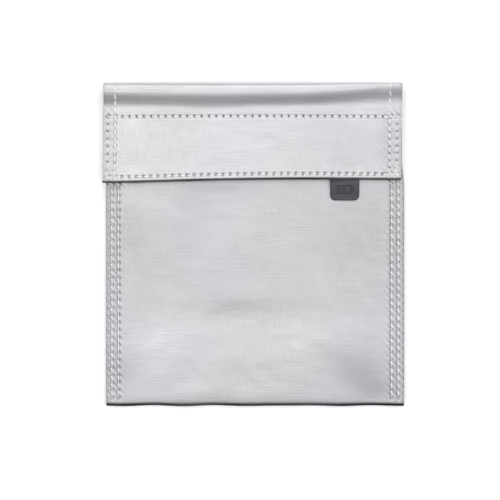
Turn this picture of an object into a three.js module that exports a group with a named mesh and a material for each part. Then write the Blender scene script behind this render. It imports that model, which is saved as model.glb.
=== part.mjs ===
// A fire-resistant storage bag for lithium batteries: a flat pouch of silver coated glass cloth, lined inside,
// double stitched along both sides, closed by a flap that rolls over the mouth onto a hook-and-loop tape.
// Millimetres, +Z up. The bag lies on its back: +Y points to the rolled fold, +Z out of the front panel,
// and the origin is at the middle of the face it lies on.
//
// The outer cloth is one strip of cloth in the sewing room. Its path runs from the flap's free edge over the
// roll, down the back, round the bottom and up the front. Every sheet below follows part of that path, which
// is given as stations: points on the outer surface, each with its outward normal.
import * as THREE from "three";

// ---- Driving dimensions ----
const HALF_WIDTH = 99.6; // of the pouch and of the flap
const HALF_LENGTH = 108; // from the origin to the bottom turn and to the roll
const SIDE_SHIFT = 0.9; // the pouch sits this far right of the middle, and the flap as far left
const CLOTH = 0.8;
const LINING = 0.5;
const HEM_CLOTH = 0.5; // cloth turned under once and pressed flat
const GAP = 0.3; // between touching pieces
const LOOP_PILE = 1.2;
const HOOK_TAPE = 1;
const THREAD = 0.5; // height of a thread row
const THREAD_WIDTH = 0.8;

const SEAM_TOP = 4.6; // top of the front panel along the side seams
const SEAM_LIFT = 1.3; // the side edges stand this far off the table
const LIFT_FROM_X = 72; // the back leaves the table here
const CROWN = 6.5; // the front panel bows up this far in the middle
const CROWN_RISE = 55; // the bow grows to its full height over this length from the bottom
const BOTTOM_TURN = 4; // depth of the turn at the bottom edge
const MOUTH_Y = 92;
const MOUTH_HEM = 10;
const MOUTH_ROW = 3; // stitch row, from the mouth's edge
const SEAM_FOLD = 9.6; // width of the cloth turned in along each side
const INNER_ROW = 8.3; // stitch rows, from the pouch's side edges
const OUTER_ROW = 3.9;

const ROLL_Y = 99; // the roll starts here, on the back and on the front
const ROLL_DEPTH = HALF_LENGTH - ROLL_Y;
const CREASE_DEG = 45; // the roll opens at two creases, this far below and above its widest point
const CREASE_HALF = 8; // half the angle that each crease takes up

const FLAP_EDGE_Y = 42.8;
const FLAP_STACK = 4.7; // top of the flap above the front panel, over the closed tapes
const ROLL_HEIGHT = SEAM_TOP + CROWN + FLAP_STACK + 2.2; // in the middle, where it bulges above the flap
const ROLL_FALL = 3; // the roll is this much lower at its ends
const TAPE_LOW_Y = 46.5; // the stitch rows that hold the tapes
const TAPE_HIGH_Y = 85.1;
const FLAP_LEVEL_Y = TAPE_HIGH_Y + 1; // the flap leaves the tapes here and rises to the roll
const TAPE_ROW = 3.1; // end rows of the hook tape, from the flap's side edges
const LOOP_HALF = 86.9; // the same rows on the pouch, from its middle
const FLAP_ROW = 8; // hem rows, from the flap's side edges
const FLAP_HEM = 10.6;

const TAB_X = 60.7;
const TAB_WIDTH = 19.4;
const TAB_LENGTH = 13;
const TAB_RADIUS = 2.7;
const TAB_THICK = 1.2;
const TAB_LIFT = 1.6; // the label's underside above the front panel at its middle
const TONGUE = 7;

const GRID_X = 12; // the facets of every sheet meet on the same grid lines, so that layers nest
const GRID_Y = 15;

// ---- Materials ----
const finish = (color, roughness, metalness) => new THREE.MeshStandardMaterial({ color, roughness, metalness });
const SILVER_CLOTH = finish(0xd4d4d6, 0.38, 0.7);
const LINING_CLOTH = finish(0xc9c8c2, 0.85, 0);
const TAPE = finish(0x8d8f93, 0.95, 0);
const THREAD_WHITE = finish(0xf0f0ee, 0.6, 0);
const LABEL_RUBBER = finish(0x3c3c40, 0.6, 0);

// ---- Surfaces ----
const clamp01 = (t) => Math.min(1, Math.max(0, t));
const smooth = (t) => clamp01(t) ** 2 * (3 - 2 * clamp01(t));

// A profile along one direction, straight between its grid lines.
function faceted(profile, pitch) {
  return (v) => {
    const low = Math.floor(v / pitch) * pitch;
    const share = (v - low) / pitch;
    return profile(low) * (1 - share) + profile(low + pitch) * share;
  };
}

const crownHalf = HALF_WIDTH - INNER_ROW;
const crownAcross = faceted((x) => (1 - clamp01(Math.abs(x) / crownHalf) ** 2.4) ** 1.15, GRID_X);
const crownAlong = faceted((y) => 1 - (1 - clamp01((y + HALF_LENGTH) / CROWN_RISE)) ** 2.2, GRID_Y);
const liftAcross = faceted((x) => clamp01((Math.abs(x) - LIFT_FROM_X) / (HALF_WIDTH - LIFT_FROM_X)), GRID_X);
const liftAlong = faceted((y) => 1 - smooth((y - 60) / (MOUTH_Y - 62)), GRID_Y);
const flapLevel = (y) => smooth((y - FLAP_LEVEL_Y) / (ROLL_Y - FLAP_LEVEL_Y));

// The back: on the table in the middle and at the roll, a little off it along the sides.
const back = (x, y) => SEAM_LIFT * liftAcross(x) * liftAlong(y);

// Top of the front panel.
const front = (x, y) => SEAM_TOP + CROWN * crownAcross(x) * crownAlong(y);

const rollHeight = (x) => ROLL_HEIGHT - ROLL_FALL * (1 - crownAcross(x));

// Top of the flap: over the closed tapes it follows the front panel, and it rises to meet the roll.
const flapTop = (x, y) => (front(x, y) + FLAP_STACK) * (1 - flapLevel(y)) + rollHeight(x) * flapLevel(y);

// ---- Stations along the cloth's path ----
const spread = (from, to, steps) =>
  Array.from({ length: steps + 1 }, (_, i) => from + ((to - from) * i) / steps);

// Both ends of a span and the grid lines between them, in order.
function gridLines(from, to, pitch) {
  const [low, high] = [Math.min(from, to), Math.max(from, to)];
  const first = Math.floor(low / pitch) + 1;
  const inside = spread(first, first + 40, 40).map((line) => line * pitch).filter((v) => v < high);
  const lines = [low, ...inside, high];
  return from < to ? lines : lines.reverse();
}

// Stations along Y on a surface, with the outer side up (sign 1) or down (sign -1).
const level = (from, to, height, sign = 1) =>
  gridLines(from, to, GRID_Y).map((y) => ({ y, z: (x) => height(x, y), normal: [0, sign] }));

// Stations round the roll, from one angle to another, in degrees above its widest point.
const roll = (from, to, steps) =>
  spread(from, to, steps).map((deg) => {
    const angle = THREE.MathUtils.degToRad(deg);
    const [across, up] = [Math.cos(angle), Math.sin(angle)];
    const normal = new THREE.Vector2(across / ROLL_DEPTH, up / (ROLL_HEIGHT / 2)).normalize().toArray();
    return { y: ROLL_Y + ROLL_DEPTH * across, z: (x) => (rollHeight(x) / 2) * (1 + up), normal };
  });

// Stations round the bottom turn, from the back up to the front.
const LOW_Y = -HALF_LENGTH + BOTTOM_TURN;
const bottomTurn = (steps) =>
  spread(-90, 90, steps).map((deg) => {
    const angle = THREE.MathUtils.degToRad(deg);
    const middle = (x) => (front(x, LOW_Y) + back(x, LOW_Y)) / 2;
    const half = (x) => (front(x, LOW_Y) - back(x, LOW_Y)) / 2;
    return {
      y: LOW_Y - BOTTOM_TURN * Math.cos(angle),
      z: (x) => middle(x) + half(x) * Math.sin(angle),
      normal: [-Math.cos(angle), Math.sin(angle)],
    };
  });

// ---- Builders ----
const bag = new THREE.Group();

function add(name, geometry, material) {
  const mesh = new THREE.Mesh(geometry, material);
  mesh.name = name;
  bag.add(mesh);
}

// Splits the underside of a box's facets along the same diagonals as the top's.
function matchDiagonals(geometry) {
  const { start, count } = geometry.groups[5];
  for (let at = start; at < start + count; at += 6) {
    const [a, b, d, , c] = geometry.index.array.slice(at, at + 6);
    geometry.index.array.set([a, b, c, a, c, d], at);
  }
}

// A sheet across a span of X that follows the stations. Inset is the depth of its outer face below the path.
function sheet(name, material, [x0, x1], stations, inset, thick) {
  const lines = gridLines(x0, x1, GRID_X);
  const [columns, rows] = [lines.length - 1, stations.length - 1];
  const geometry = new THREE.BoxGeometry(columns, rows, 1, columns, rows, 1);
  matchDiagonals(geometry);
  const at = geometry.getAttribute("position");
  for (let i = 0; i < at.count; i++) {
    const station = stations[Math.round(at.getY(i) + rows / 2)];
    const x = lines[Math.round(at.getX(i) + columns / 2)];
    const depth = at.getZ(i) > 0 ? inset : inset + thick;
    at.setXYZ(i, x, station.y - station.normal[0] * depth, station.z(x) - station.normal[1] * depth);
  }
  add(name, geometry, material);
}

// A row of thread along the path at x, on the outside of the cloth.
const threadAlong = (name, x, stations) =>
  sheet(name, THREAD_WHITE, [x - THREAD_WIDTH / 2, x + THREAD_WIDTH / 2], stations, -GAP - THREAD, THREAD);

// A closed row of thread, sewn round a rectangle below or on a surface: the section is turned into a ring whose
// steps are then laid on the rectangle's points.
function threadRound(name, [x0, x1], [y0, y1], surface, inset) {
  const [across, along] = [gridLines(x0, x1, GRID_X), gridLines(y0, y1, GRID_Y)];
  const path = [
    ...across.map((x) => [x, y0]),
    ...along.slice(1).map((y) => [x1, y]),
    ...across.slice(0, -1).reverse().map((x) => [x, y1]),
    ...along.slice(1, -1).reverse().map((y) => [x0, y]),
  ];
  const half = THREAD_WIDTH / 2;
  const section = [[-half, 0], [half, 0], [half, THREAD], [-half, THREAD], [-half, 0]];
  const ring = section.map(([outward, up]) => new THREE.Vector2(HALF_WIDTH + outward, up));
  const geometry = new THREE.LatheGeometry(ring, path.length);
  const at = geometry.getAttribute("position");
  const widen = (v, low, high, outward) => v + (v === high ? outward : 0) - (v === low ? outward : 0);
  for (let i = 0; i < at.count; i++) {
    const [onX, onY] = path[Math.floor(i / section.length) % path.length];
    const [outward, up] = section[i % section.length];
    const [x, y] = [widen(onX, x0, x1, outward), widen(onY, y0, y1, outward)];
    at.setXYZ(i, x, y, surface(x, y) - inset - THREAD + up);
  }
  add(name, geometry, THREAD_WHITE);
}

const SIDES = { left: -1, right: 1 };
const inOrder = (a, b) => [Math.min(a, b), Math.max(a, b)];

// ---- Pouch ----
const pouch = [SIDE_SHIFT - HALF_WIDTH, SIDE_SHIFT + HALF_WIDTH];
const liningHalf = HALF_WIDTH - SEAM_FOLD - 2 * GAP;
const pouchLining = [SIDE_SHIFT - liningHalf, SIDE_SHIFT + liningHalf];
const lip = roll(-CREASE_DEG - CREASE_HALF, -90, 3);

sheet("back_panel", SILVER_CLOTH, pouch, [...lip, ...level(MOUTH_Y, LOW_Y + GAP, back, -1)], 0, CLOTH);
sheet("bottom_fold", SILVER_CLOTH, pouch, bottomTurn(6), 0, CLOTH);
sheet("front_panel", SILVER_CLOTH, pouch, level(LOW_Y + GAP, MOUTH_Y, front), 0, CLOTH);
sheet("lining_back", LINING_CLOTH, pouchLining, level(MOUTH_Y, LOW_Y + 1, back, -1), CLOTH + GAP, LINING);

// The front lining is caught under the hem turned in at the mouth.
const hemY = MOUTH_Y - MOUTH_HEM;
sheet("lining_front", LINING_CLOTH, pouchLining, level(LOW_Y + GAP, hemY - GAP, front), CLOTH + GAP, LINING);
sheet("mouth_hem", SILVER_CLOTH, pouchLining, level(hemY, MOUTH_Y, front), CLOTH + GAP, HEM_CLOTH);
const mouthRow = level(MOUTH_Y - MOUTH_ROW, MOUTH_Y - MOUTH_ROW + THREAD_WIDTH, front);
sheet("mouth_thread", THREAD_WHITE, pouchLining, mouthRow, -GAP - THREAD, THREAD);

// The cloth turned in between back and front along each side, and the two rows of stitches through it.
const allowance = SEAM_TOP - SEAM_LIFT - 2 * (CLOTH + GAP);
for (const [side, sign] of Object.entries(SIDES)) {
  const edge = SIDE_SHIFT + sign * HALF_WIDTH;
  sheet(`seam_allowance_${side}`, SILVER_CLOTH, inOrder(edge, edge - sign * SEAM_FOLD),
    level(LOW_Y + 1, MOUTH_Y, () => SEAM_TOP), CLOTH + GAP, allowance);
  for (const [row, from] of [["outer", OUTER_ROW], ["inner", INNER_ROW]]) {
    threadAlong(`seam_thread_${side}_${row}`, edge - sign * from, level(LOW_Y + 1, MOUTH_Y - 1, front));
    threadAlong(`seam_bobbin_${side}_${row}`, edge - sign * from, level(60, LOW_Y + 1, back, -1));
  }
}

const loopHalf = LOOP_HALF - THREAD_WIDTH / 2 - GAP;
const loopInset = THREAD_WIDTH / 2 + GAP;
sheet("loop_tape", TAPE, [SIDE_SHIFT - loopHalf, SIDE_SHIFT + loopHalf],
  level(TAPE_LOW_Y + loopInset, TAPE_HIGH_Y - loopInset, front), -GAP - LOOP_PILE, LOOP_PILE);
threadRound("loop_tape_thread", [SIDE_SHIFT - LOOP_HALF, SIDE_SHIFT + LOOP_HALF], [TAPE_LOW_Y, TAPE_HIGH_Y],
  front, -GAP - THREAD);

// ---- Roll ----
const rollStations = roll(CREASE_DEG - CREASE_HALF, CREASE_HALF - CREASE_DEG, 6);
const rollSpan = [-HALF_WIDTH, HALF_WIDTH];
sheet("fold_cloth", SILVER_CLOTH, rollSpan, rollStations, 0, CLOTH);
sheet("fold_lining", LINING_CLOTH, rollSpan, rollStations, CLOTH + GAP, LINING);
for (const [side, sign] of Object.entries(SIDES))
  threadAlong(`fold_thread_${side}`, sign * (HALF_WIDTH - FLAP_ROW), rollStations);

// ---- Flap ----
const flap = [-SIDE_SHIFT - HALF_WIDTH, -SIDE_SHIFT + HALF_WIDTH];
const flapLining = [flap[0] + FLAP_HEM, flap[1] - FLAP_HEM];
const flapRise = [...level(FLAP_LEVEL_Y, ROLL_Y, flapTop), ...roll(90, CREASE_DEG + CREASE_HALF, 3).slice(1)];
const flapFrom = (y) => [...level(y, FLAP_LEVEL_Y, flapTop), ...flapRise.slice(1)];

sheet("flap_cloth", SILVER_CLOTH, flap, flapFrom(FLAP_EDGE_Y), 0, CLOTH);
sheet("flap_lining", LINING_CLOTH, flapLining, flapFrom(FLAP_EDGE_Y + FLAP_HEM), CLOTH + GAP, LINING);
for (const [side, sign] of Object.entries(SIDES)) {
  const edge = -SIDE_SHIFT + sign * HALF_WIDTH;
  sheet(`flap_hem_${side}`, SILVER_CLOTH, inOrder(edge, edge - sign * (FLAP_HEM - GAP)), flapFrom(FLAP_EDGE_Y),
    CLOTH + GAP, HEM_CLOTH);
  threadAlong(`flap_thread_${side}`, edge - sign * FLAP_ROW, flapRise);
}

// The bottom hem, in two stretches beside the tongue of the label that it holds.
const tab = [TAB_X - TAB_WIDTH / 2, TAB_X + TAB_WIDTH / 2];
const bottomHem = level(FLAP_EDGE_Y, FLAP_EDGE_Y + FLAP_HEM - GAP, flapTop);
const tongue = level(FLAP_EDGE_Y, FLAP_EDGE_Y + TONGUE, flapTop);
sheet("flap_hem_bottom_left", SILVER_CLOTH, [flapLining[0], tab[0] - GAP], bottomHem, CLOTH + GAP, HEM_CLOTH);
sheet("flap_hem_bottom_right", SILVER_CLOTH, [tab[1] + GAP, flapLining[1]], bottomHem, CLOTH + GAP, HEM_CLOTH);
sheet("label_tongue", LABEL_RUBBER, tab, tongue, CLOTH + GAP, HEM_CLOTH);

const underHem = CLOTH + HEM_CLOTH + 2 * GAP;
const tapeRows = [flap[0] + TAPE_ROW, flap[1] - TAPE_ROW];
sheet("hook_tape", TAPE, [tapeRows[0] + loopInset, tapeRows[1] - loopInset],
  level(TAPE_LOW_Y + loopInset, TAPE_HIGH_Y - loopInset, flapTop), underHem, HOOK_TAPE);
threadRound("hook_tape_bobbin", tapeRows, [TAPE_LOW_Y, TAPE_HIGH_Y], flapTop, underHem);
threadRound("hook_tape_thread", tapeRows, [TAPE_LOW_Y, TAPE_HIGH_Y], flapTop, -GAP - THREAD);

// ---- Pull tab: the free end of the rubber label, with round corners ----
const half = TAB_WIDTH / 2;
const outline = new THREE.Shape();
outline.moveTo(-half, 0);
outline.lineTo(-half, TAB_RADIUS - TAB_LENGTH);
outline.absarc(TAB_RADIUS - half, TAB_RADIUS - TAB_LENGTH, TAB_RADIUS, Math.PI, 1.5 * Math.PI);
outline.absarc(half - TAB_RADIUS, TAB_RADIUS - TAB_LENGTH, TAB_RADIUS, 1.5 * Math.PI, 2 * Math.PI);
outline.lineTo(half, 0);
const label = new THREE.ExtrudeGeometry(outline, { depth: TAB_THICK, bevelEnabled: false, curveSegments: 5 });
label.translate(TAB_X, FLAP_EDGE_Y - 2 * GAP, TAB_LIFT);
const labelAt = label.getAttribute("position");
for (let i = 0; i < labelAt.count; i++) labelAt.setZ(i, labelAt.getZ(i) + front(TAB_X, labelAt.getY(i)));
add("pull_tab", label, LABEL_RUBBER);

export default bag;
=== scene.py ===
# A flat pouch of silver coated glass cloth for lithium batteries, closed by a flap with hook-and-loop tape.
# The bag lies on its back: +Y points to the rolled fold at the mouth end, +Z out of the front panel.
# Shapes are worked out in millimetres and written to meshes in metres.
import math

import bpy
import numpy as np
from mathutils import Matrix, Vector


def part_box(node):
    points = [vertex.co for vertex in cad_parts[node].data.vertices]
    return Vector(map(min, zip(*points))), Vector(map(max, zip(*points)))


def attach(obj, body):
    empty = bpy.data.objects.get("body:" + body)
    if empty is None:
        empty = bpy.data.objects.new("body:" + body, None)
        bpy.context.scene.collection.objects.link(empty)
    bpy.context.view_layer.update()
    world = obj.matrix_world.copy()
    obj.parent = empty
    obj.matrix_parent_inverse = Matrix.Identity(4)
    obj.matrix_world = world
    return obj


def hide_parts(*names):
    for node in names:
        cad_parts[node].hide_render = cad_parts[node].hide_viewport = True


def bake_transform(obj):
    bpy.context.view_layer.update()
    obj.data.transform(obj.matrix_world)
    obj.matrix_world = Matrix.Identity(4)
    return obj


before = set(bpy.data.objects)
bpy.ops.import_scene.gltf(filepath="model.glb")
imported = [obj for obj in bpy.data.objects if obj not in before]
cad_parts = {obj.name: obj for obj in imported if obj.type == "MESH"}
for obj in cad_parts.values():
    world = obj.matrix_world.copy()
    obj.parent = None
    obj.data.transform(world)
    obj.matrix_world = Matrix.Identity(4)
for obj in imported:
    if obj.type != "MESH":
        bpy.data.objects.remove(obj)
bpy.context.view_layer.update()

MM = 0.001
rng = np.random.default_rng(41)
scene = bpy.context.scene


# ==== Camera: straight above, with a long lens ====
VIEW_X, VIEW_Y, VIEW_Z = -2.5 * MM, -3.8 * MM, 10 * MM  # the middle of the view
VIEW_WIDTH = 0.3333
camera_data = bpy.data.cameras.new("camera")
camera_data.lens = 200
camera_data.sensor_width = 36
camera = bpy.data.objects.new("camera", camera_data)
scene.collection.objects.link(camera)
scene.camera = camera
camera.location = (VIEW_X, VIEW_Y, VIEW_WIDTH * camera_data.lens / camera_data.sensor_width + VIEW_Z)


# ==== The frame, in millimetres ====
def box_mm(node):
    low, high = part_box(node)
    return np.array(low) / MM, np.array(high) / MM


def middle(node, axis):
    low, high = box_mm(node)
    return (low[axis] + high[axis]) / 2


X, Y, Z = 0, 1, 2
CAD_CLOTH = 0.8  # the outer cloth's thickness in the frame
THREAD_HALF = 0.4  # half the width of a row of thread in the frame
front_low, front_high = box_mm("front_panel")
flap_low, flap_high = box_mm("flap_cloth")
tab_low, tab_high = box_mm("pull_tab")
mouth_low, mouth_high = box_mm("mouth_thread")
POUCH_SIDES = POUCH_LEFT, POUCH_RIGHT = front_low[X], front_high[X]
FLAP_SIDES = FLAP_LEFT, FLAP_RIGHT = flap_low[X], flap_high[X]
FLAP_SHIFT = FLAP_LEFT - POUCH_LEFT
HALF_WIDTH = (POUCH_RIGHT - POUCH_LEFT) / 2
BOTTOM_Y = box_mm("bottom_fold")[0][Y]
LOW_Y = box_mm("bottom_fold")[1][Y]
TOP_Y = box_mm("fold_cloth")[1][Y]
MOUTH_Y = front_high[Y]
EDGE_Y = flap_low[Y]
SEAM_TOP = front_low[Z] + CAD_CLOTH
CROWN = front_high[Z] - SEAM_TOP
FLAP_STACK = flap_low[Z] + CAD_CLOTH - SEAM_TOP  # from the front panel's face to the flap's
ROWS_LEFT = middle("seam_thread_left_outer", X), middle("seam_thread_left_inner", X)
ROWS_RIGHT = middle("seam_thread_right_outer", X), middle("seam_thread_right_inner", X)
INNER_ROWS = ROWS_LEFT[1], ROWS_RIGHT[1]
FLAP_ROWS = middle("flap_thread_left", X), middle("flap_thread_right", X)
MOUTH_ROW_Y = middle("mouth_thread", Y)
TAPE_LEFT, TAPE_LOW = box_mm("hook_tape_thread")[0][:2] + THREAD_HALF
TAPE_RIGHT, TAPE_HIGH = box_mm("hook_tape_thread")[1][:2] - THREAD_HALF
TAB_X = (tab_low[X] + tab_high[X]) / 2

# ==== Sizes the frame doesn't give ====
THICK = 0.4  # the cloth as it shows
SIDE_TURN, SIDE_FOLD = 0.55, 9.0  # radius and width of the turned-in sides
HEM_TURN = 0.75  # radius of the hems' turns
MOUTH_HEM, FLAP_HEM = 10.0, 10.3
LINING_DEPTH = 0.5
SEAM_LIFT = 1.3  # the sides of the back lie this high
BACK_FLAT = 72  # the back is flat this far from its middle
BACK_TOP = 97.5  # the back runs up to here, and the roll on from it
SHIFT_Y, SHIFT_LENGTH = 38, 20  # from this y, over this length, the cloth shifts to the flap's place
CROWN_LENGTH = 80  # the front swells over this length from the bottom edge
CROWN_INSET = 8.3  # and starts this far inside the sides
ROLL_Y = 102.2  # where the roll's crest lies at the middle of the bag
ROLL_BULGE = 4.2  # the roll stands this far above the flap
ROLL_SLOPE = 12.6  # and comes down to it over this length
ROLL_SQUARE = 0.68  # 1 makes the roll round, and less makes it squarer
FLAP_SKEW = 0.7  # the flap's top lies this far right of its edge
PITCH = 5.0  # of the body's stitches
PER_STITCH = 6  # rows or columns of the grid from hole to hole
LINE = PITCH / PER_STITCH
TAPE_UP = 8  # stitches up the side of the tape
STEP_Y = (TAPE_HIGH - TAPE_LOW) / TAPE_UP / PER_STITCH
TAPE_ACROSS = round((TAPE_RIGHT - TAPE_LEFT) / (PER_STITCH * STEP_Y))
STEP_X = (TAPE_RIGHT - TAPE_LEFT) / TAPE_ACROSS / PER_STITCH
HOLE_X, HOLE_Y = PER_STITCH * STEP_X, PER_STITCH * STEP_Y
GROOVE = 0.9  # half width of the sunk line along a row of stitches
HOLE_DEPTH = 0.85
PUCKER_SLANT = 1.1
SLACK = 0.012  # the share by which the panels are cut too large


# ==== Heights ====
def ease(t):
    t = np.clip(t, 0, 1)
    return t * t * (3 - 2 * t)


def bell(distance, width):
    return np.exp(-((distance / width) ** 2))


def unit(vectors):
    return vectors / np.maximum(np.linalg.norm(vectors, axis=-1, keepdims=True), 1e-9)


def crown_across(x):
    return (1 - np.clip(np.abs(x) / (HALF_WIDTH - CROWN_INSET), 0, 1) ** 2.4) ** 1.15


def crown_along(y):
    return 1 - (1 - np.clip((y - BOTTOM_Y) / CROWN_LENGTH, 0, 1)) ** 1.7


def front_z(x, y):
    return SEAM_TOP + CROWN * crown_across(x) * crown_along(y)


def back_z(x, y):
    """The back lies on the ground, and its sides lift with the seams, up to the mouth."""
    side = np.clip((np.abs(x) - BACK_FLAT) / (HALF_WIDTH - BACK_FLAT), 0, 1)
    return SEAM_LIFT * side * (1 - ease((y - 60) / 30)) + 0 * y


def flap_plane(x, y):
    return front_z(x, y) + FLAP_STACK


def rightward(x, start):
    """0 left of a place, and 1 well to the right of it."""
    return ease((x - start) / 60)


def roll_y(x):
    """The line of the roll's crest, which bows and runs up to the right."""
    return ROLL_Y + 1.9 * (1 - crown_across(x)) + 0.011 * x + 1.2 * rightward(x, 30)


def slope_length(x):
    return ROLL_SLOPE + 1.6 * rightward(x, 35)


def crest_z(x):
    return flap_plane(x, roll_y(x)) + ROLL_BULGE


def flap_z(x, y):
    along = np.clip((roll_y(x) - y) / slope_length(x), 0, 1) ** (1 - 0.16 * rightward(x, 35))
    bulge = crest_z(x) - flap_plane(x, roll_y(x))
    return flap_plane(x, y) + bulge * (0.5 + 0.5 * np.cos(math.pi * along))


# ==== Cloth: a strip is a grid of points, rows along the path and columns across it ====
class Strip:
    def __init__(self, x, path_y, path_z, depth, u):
        """x, path_y and path_z give the path at each column, one row each. depth is how far a column lies
        behind the path, where the cloth is turned in, and u is its place across the flat cloth."""
        shape = path_y.shape
        x = np.broadcast_to(x, shape)
        dy, dz = np.gradient(path_y, axis=0), np.gradient(path_z, axis=0)
        length = np.hypot(dy, dz)
        ny, nz = dz / length, -dy / length
        mid = shape[1] // 2
        steps = np.hypot(np.diff(path_y[:, mid]), np.diff(path_z[:, mid]))
        self.v = np.concatenate([[0], np.cumsum(steps)])
        self.u = u
        self.points = np.stack([x, path_y - ny * depth, path_z - nz * depth], axis=-1)
        # painted shade along the edges, and the coat's own uneven colour with painted light and shade on top
        self.painted_edge_shade = np.zeros(shape)
        self.tone = np.zeros(shape)

    def normals(self):
        return unit(np.cross(np.gradient(self.points, axis=0), np.gradient(self.points, axis=1)))

    def push(self, amount):
        """Moves the cloth out along its normals."""
        self.points = self.points + self.normals() * amount[..., None]

    def prick(self, pit):
        """Sinks the needle holes, and the mask paints shade into them. The cloth as it lies without them is
        kept, for the thread to follow.
        """
        self.base = self.points.copy()
        self.base_normals = self.normals()
        self.points = self.points - self.base_normals * (pit * HOLE_DEPTH)[..., None]
        self.pit = pit

    def size(self):
        return (self.u[-1] - self.u[0]) * MM, (self.v[-1] - self.v[0]) * MM


class Layer(Strip):
    """A layer that follows part of a strip at a distance from its face, outward if positive."""

    def __init__(self, strip, rows, cols, offset):
        self.points = (strip.base + strip.base_normals * offset)[np.ix_(rows, cols)]
        self.u, self.v = strip.u[cols], strip.v[rows]
        self.pit = self.painted_edge_shade = self.tone = np.zeros(self.points.shape[:2])


def at(values, r, c):
    """Values of a grid of vectors between its points."""
    r0, c0 = np.floor(r).astype(int), np.floor(c).astype(int)
    r1, c1 = np.minimum(r0 + 1, values.shape[0] - 1), np.minimum(c0 + 1, values.shape[1] - 1)
    fr, fc = (r - r0)[..., None], (c - c0)[..., None]
    low = values[r0, c0] * (1 - fc) + values[r0, c1] * fc
    high = values[r1, c0] * (1 - fc) + values[r1, c1] * fc
    return low * (1 - fr) + high * fr


def columns(left, right, inner):
    """Columns of a strip whose sides are turned in: their x, their depth and their place across the cloth."""
    turn = np.linspace(0, math.pi, 7)
    tucked = np.linspace(0, SIDE_FOLD, 5)[1:]
    r = SIDE_TURN
    side_x = np.concatenate([r * np.sin(turn[1:]), -tucked])
    side_depth = np.concatenate([r * (1 - np.cos(turn[1:])), np.full(len(tucked), 2 * r)])
    side_u = np.concatenate([r * turn[1:], r * math.pi + tucked])
    inner = np.unique(np.concatenate([[left + r], inner, [right - r]]))
    x = np.concatenate([(left + r - side_x)[::-1], inner, right - r + side_x])
    depth = np.concatenate([side_depth[::-1], np.zeros(len(inner)), side_depth])
    u = np.concatenate([(left + r - side_u)[::-1], inner, right - r + side_u])
    return x, depth, u


SIDE_COLUMNS = 10  # columns of one turned-in side


def column(values):
    return np.asarray(values)[:, None]


def grid_of(x, y):
    """The x and the y of every point of a grid with these columns and rows."""
    return x[None, :] + 0 * column(y), column(y) + 0 * x


def rows_of(x, *parts):
    """Stacks rows of a path. A flat list of numbers is the same at every x."""
    wide = [np.broadcast_to(p[:, None], (len(p), len(x))) if p.ndim == 1 else p for p in parts]
    return np.concatenate(wide)


def mesh_object(name, verts, faces, material, marks, uv=None, flat_faces=0):
    """A mesh in its own object. The last flat_faces of its faces, along a cut edge, aren't smooth."""
    mesh = bpy.data.meshes.new(name)
    mesh.from_pydata(verts.tolist(), [], faces.tolist() if hasattr(faces, "tolist") else faces)
    if uv is not None:
        loops = np.zeros(len(mesh.loops), dtype=np.int64)
        mesh.loops.foreach_get("vertex_index", loops)
        mesh.uv_layers.new(name="cloth").data.foreach_set("uv", uv[loops].astype(np.float32).ravel())
    for key, values in marks.items():
        attribute = mesh.attributes.new(key, "FLOAT", "POINT")
        attribute.data.foreach_set("value", values.astype(np.float32))
    mesh.polygons.foreach_set("use_smooth", np.arange(len(mesh.polygons)) < len(mesh.polygons) - flat_faces)
    mesh.materials.append(material)
    mesh.update()
    obj = bpy.data.objects.new(name, mesh)
    scene.collection.objects.link(obj)
    return obj


def grid_index(rows, cols):
    """The points of a grid by row and column, and its faces, which face up where the rows run up the grid."""
    index = np.arange(rows * cols).reshape(rows, cols)
    corners = index[:-1, :-1], index[:-1, 1:], index[1:, 1:], index[1:, :-1]
    return index, np.stack(corners, axis=-1).reshape(-1, 4)


def closed_faces(rows, cols):
    """Faces round two grids whose rows run down the first, and the number that join their borders."""
    index, faces = grid_index(rows, cols)
    top = faces[:, [0, 3, 2, 1]]
    border = np.concatenate([index[0, :-1], index[:-1, -1], index[-1, :0:-1], index[:0:-1, 0]])
    after = np.roll(border, -1)
    rim = np.stack([border, after, after + rows * cols, border + rows * cols], axis=-1)
    return np.concatenate([top, top[:, ::-1] + rows * cols, rim]), len(rim)


def shell(name, strip, thick, material):
    """A closed mesh of a strip with a thickness, its outer face on the strip's points."""
    outer = strip.points
    inner = outer - strip.normals() * thick
    verts = np.concatenate([outer.reshape(-1, 3), inner.reshape(-1, 3)]) * MM
    uv = np.stack(np.meshgrid(strip.u, strip.v), axis=-1).reshape(-1, 2) * MM
    marks = {key: np.tile(getattr(strip, key).reshape(-1), 2) for key in ("pit", "painted_edge_shade", "tone")}
    faces, rim_count = closed_faces(*outer.shape[:2])
    return mesh_object(name, verts, faces, material, marks, np.concatenate([uv, uv]), rim_count)


def tubes(name, centre, up, radius, material, sides=8, plies=0.0, deep=None):
    """Closed tubes along paths: centre is (tube, point, 3), and the radius is the same for every tube. With
    plies, the section is two strands that turn that many times along the tube."""
    count, samples = centre.shape[:2]
    along = unit(np.gradient(centre, axis=1))
    side = unit(np.cross(along, up))
    lift = np.cross(side, along)
    angle = np.arange(sides) * math.tau / sides
    turn = plies * math.tau * np.linspace(0, 1, samples)
    lobes = 1 + (0.22 if plies else 0) * np.cos(2 * (angle[None, :] - turn[:, None]))
    ring = np.broadcast_to(radius, (count, samples))[:, :, None] * lobes[None]
    verts = (centre[:, :, None] + side[:, :, None] * (ring * np.cos(angle))[..., None]
             + lift[:, :, None] * (ring * np.sin(angle))[..., None])
    index = np.arange(count * samples * sides).reshape(count, samples, sides)
    ahead = np.roll(index, -1, axis=2)
    faces = np.stack([index[:, :-1], ahead[:, :-1], ahead[:, 1:], index[:, 1:]], axis=-1).reshape(-1, 4)
    caps = [*index[:, 0, ::-1].tolist(), *index[:, -1].tolist()]
    # the mark for painted shade where the thread goes down a hole
    marks = {} if deep is None else {"deep": np.repeat(np.tile(deep, count), sides)}
    return mesh_object(name, verts.reshape(-1, 3) * MM, faces.tolist() + caps, material, marks)


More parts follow.
